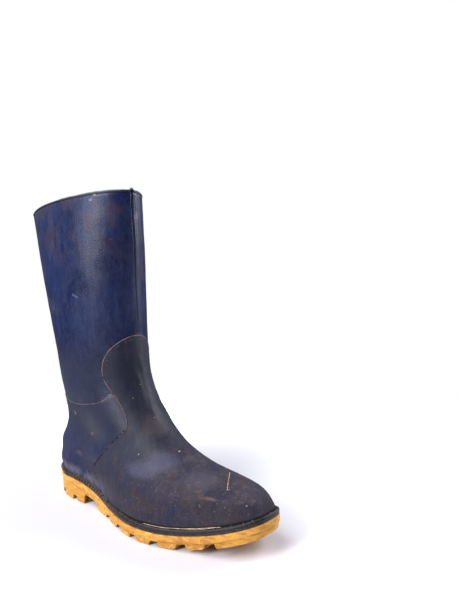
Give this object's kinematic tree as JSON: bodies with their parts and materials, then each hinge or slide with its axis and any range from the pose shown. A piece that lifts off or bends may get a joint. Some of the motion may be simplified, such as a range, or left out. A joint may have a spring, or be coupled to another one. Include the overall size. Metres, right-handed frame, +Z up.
{
  "type": "wellington boot",
  "caption": "Right-foot rubber wellington boot, muddy and worn, with a hollow leg and foot, a ribbed foxing strip and a barred outsole with a stepped heel.",
  "frame": {"origin": "middle of the bottom face of the bounding box, on the floor plane", "axes": "+Z up the leg, -Y towards the toe, -X towards the wearer's right, the outer side of this right boot"},
  "size_m": [0.114, 0.3524, 0.3473],
  "materials": {
    "upper_rubber": "satin navy rubber, dusty and smeared with dried mud",
    "foxing_rubber": "ribbed near-black rubber with dirt in the ribs",
    "sole_rubber": "ochre rubber, worn tan on the tread faces",
    "insole_fabric": "flat grey knitted fabric"
  },
  "bodies": {
    "root": {"upper": "upper_rubber", "foxing": "foxing_rubber", "outsole": "sole_rubber", "insole": "insole_fabric"}
  },
  "joints": []
}
